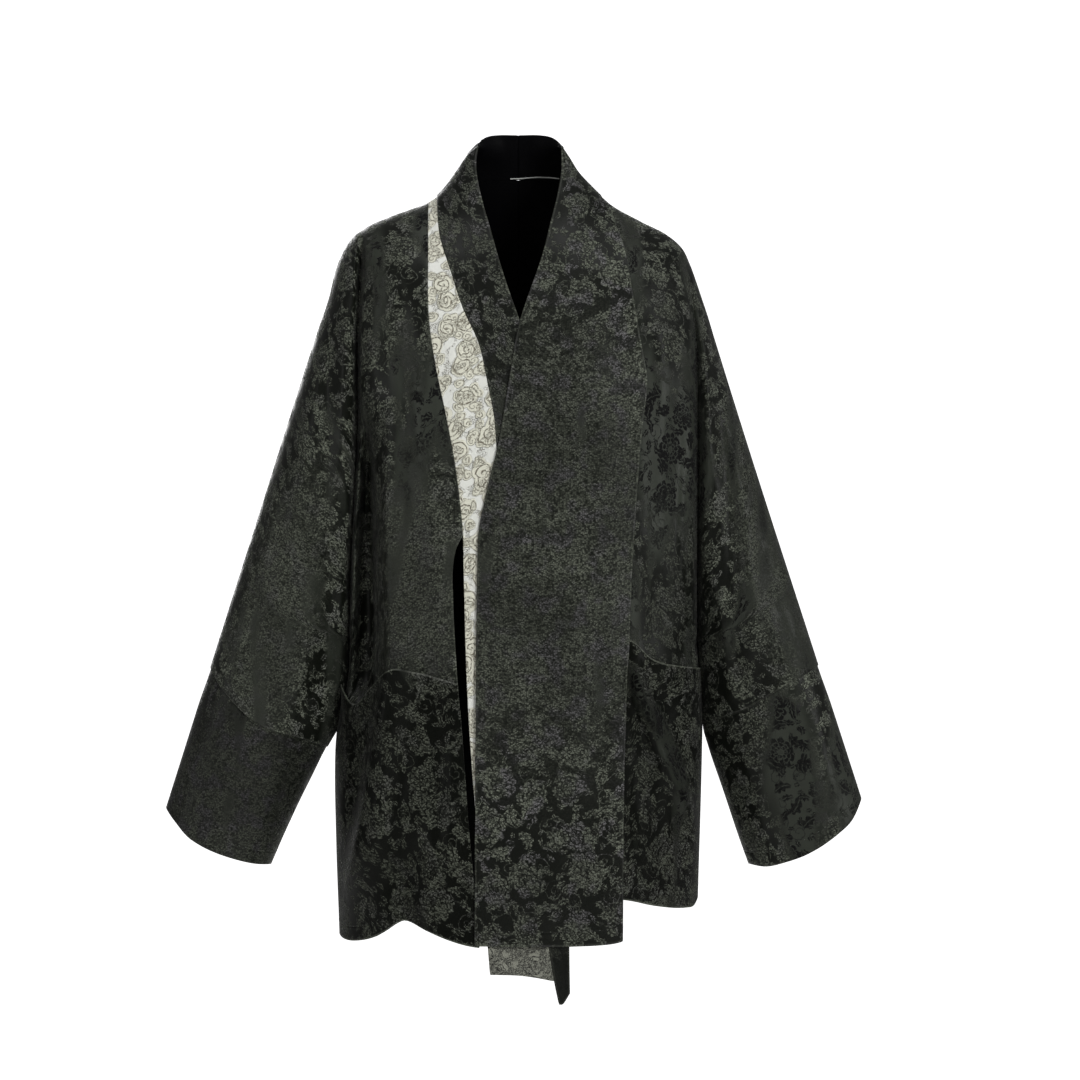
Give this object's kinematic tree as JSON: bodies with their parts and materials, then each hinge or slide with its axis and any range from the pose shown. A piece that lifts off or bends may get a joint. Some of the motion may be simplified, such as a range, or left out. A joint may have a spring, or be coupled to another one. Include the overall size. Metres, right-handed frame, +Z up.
{
  "type": "kimono robe",
  "caption": "Open-front kimono-cut robe in dark figured silk, with wide straight sleeves, a broad lapped band, a pale inset and patch pockets, hollow as worn.",
  "frame": {"origin": "between the shoulders in the plane of the side seams, 32 mm below the back neck seam, where the wearer's shoulders carry the robe", "axes": "+X towards the wearer's left sleeve, -Y towards the front, +Z up"},
  "size_m": [0.761, 0.2758, 0.9471],
  "materials": {
    "dark_damask": "green-black figured silk satin, flowers and leaves woven in a duller grey-green",
    "cuff_damask": "the same figured silk, cut separately for the cuffs",
    "collar_damask": "dark figured silk with a low, slightly purple-grey figure",
    "pale_jacquard": "pale silver-cream jacquard with raised round medallions and scrolls"
  },
  "bodies": {
    "root": {"front_right": "dark_damask", "front_left_side": "dark_damask", "back_right": "dark_damask", "back_left": "dark_damask", "cuff_right": "cuff_damask", "cuff_left": "cuff_damask", "inset_pale": "pale_jacquard", "collar_right": "collar_damask", "band_left": "collar_damask", "pocket_right": "dark_damask", "pocket_left": "dark_damask"}
  },
  "joints": []
}
